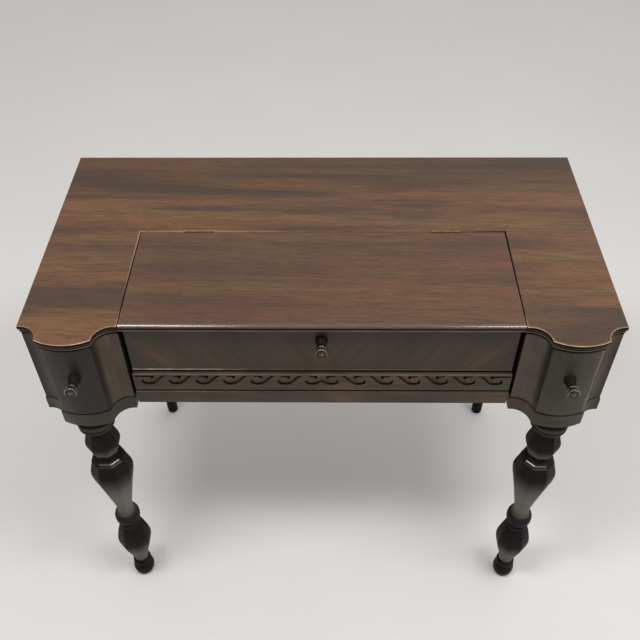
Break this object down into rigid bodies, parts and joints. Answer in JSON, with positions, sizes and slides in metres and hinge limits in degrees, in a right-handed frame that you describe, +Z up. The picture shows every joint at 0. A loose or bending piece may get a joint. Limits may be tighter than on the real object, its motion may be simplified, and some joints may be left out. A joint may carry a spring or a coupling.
{
  "type": "spinet desk",
  "caption": "Spinet desk with a fold-back lid and front flap, pull-out writing bed with carved rail, bow-front pedestal drawers and turned faceted legs.",
  "frame": {"origin": "on the floor, in the middle of the bounding box", "axes": "+Z up, +X to the right of someone facing the front, front towards -Y"},
  "size_m": [0.968, 0.5414, 0.7771],
  "materials": {
    "top_veneer": "satin reddish-brown veneer",
    "case_veneer": "satin black-brown stain",
    "turned_wood": "satin near-black stain",
    "drawer_wood": "plain unstained hardwood",
    "brass": "aged brass"
  },
  "bodies": {
    "carcass": {"top_rear_strip": "top_veneer", "top_wing_left": "top_veneer", "top_wing_right": "top_veneer", "back_panel": "case_veneer", "gallery_floor": "case_veneer", "gallery_shelf": "case_veneer", "gallery_divider_left_inner": "case_veneer", "gallery_divider_left_outer": "case_veneer", "gallery_divider_right_inner": "case_veneer", "gallery_divider_right_outer": "case_veneer", "left_inner_side": "case_veneer", "left_inner_stile": "case_veneer", "left_outer_side": "case_veneer", "left_outer_stile": "case_veneer", "right_inner_side": "case_veneer", "right_inner_stile": "case_veneer", "right_outer_side": "case_veneer", "right_outer_stile": "case_veneer", "left_plinth": "case_veneer", "right_plinth": "case_veneer", "lid_rest_left": "case_veneer", "lid_rest_right": "case_veneer", "bed_runner_left": "drawer_wood", "bed_runner_right": "drawer_wood", "tie_rail": "drawer_wood", "front_leg_left": "turned_wood", "front_leg_right": "turned_wood", "rear_leg_left": "turned_wood", "rear_leg_right": "turned_wood", "lid_hinge_left_fixed_leaf": "brass", "lid_hinge_right_fixed_leaf": "brass"},
    "lid": {"lid": "top_veneer", "lid_hinge_left_lid_leaf": "brass", "lid_hinge_right_lid_leaf": "brass", "flap_hinge_left_lid_leaf": "brass", "flap_hinge_right_lid_leaf": "brass"},
    "flap": {"flap": "case_veneer", "flap_knob": "turned_wood", "flap_hinge_left_flap_leaf": "brass", "flap_hinge_right_flap_leaf": "brass"},
    "writing_bed": {"writing_bed": "case_veneer", "carved_rail": "case_veneer"},
    "left_drawer": {"left_drawer_front": "case_veneer", "left_drawer_left_side": "drawer_wood", "left_drawer_right_side": "drawer_wood", "left_drawer_back": "drawer_wood", "left_drawer_bottom": "drawer_wood", "left_drawer_knob": "turned_wood"},
    "right_drawer": {"right_drawer_front": "case_veneer", "right_drawer_left_side": "drawer_wood", "right_drawer_right_side": "drawer_wood", "right_drawer_back": "drawer_wood", "right_drawer_bottom": "drawer_wood", "right_drawer_knob": "turned_wood"},
    "inner_drawer": {"inner_drawer_front": "case_veneer", "inner_drawer_left_side": "drawer_wood", "inner_drawer_right_side": "drawer_wood", "inner_drawer_back": "drawer_wood", "inner_drawer_bottom": "drawer_wood", "inner_drawer_knob": "turned_wood"}
  },
  "joints": [
    {"name": "lid_hinge", "type": "hinge", "parent": "carcass", "child": "lid", "pos_m": [0, 0.03804, 0.77575], "axis": [-1, 0, 0], "range_deg": [0, 180]},
    {"name": "flap_hinge", "type": "hinge", "parent": "lid", "child": "flap", "pos_m": [0, -0.16916, 0.7579], "axis": [1, 0, 0], "range_deg": [0, 90]},
    {"name": "writing_bed_slide", "type": "slide", "parent": "carcass", "child": "writing_bed", "axis": [0, -1, 0], "range_m": [0, 0.18]},
    {"name": "left_drawer_slide", "type": "slide", "parent": "carcass", "child": "left_drawer", "axis": [0, -1, 0], "range_m": [0, 0.28]},
    {"name": "right_drawer_slide", "type": "slide", "parent": "carcass", "child": "right_drawer", "axis": [0, -1, 0], "range_m": [0, 0.28]},
    {"name": "inner_drawer_slide", "type": "slide", "parent": "carcass", "child": "inner_drawer", "axis": [0, -1, 0], "range_m": [0, 0.095]}
  ]
}
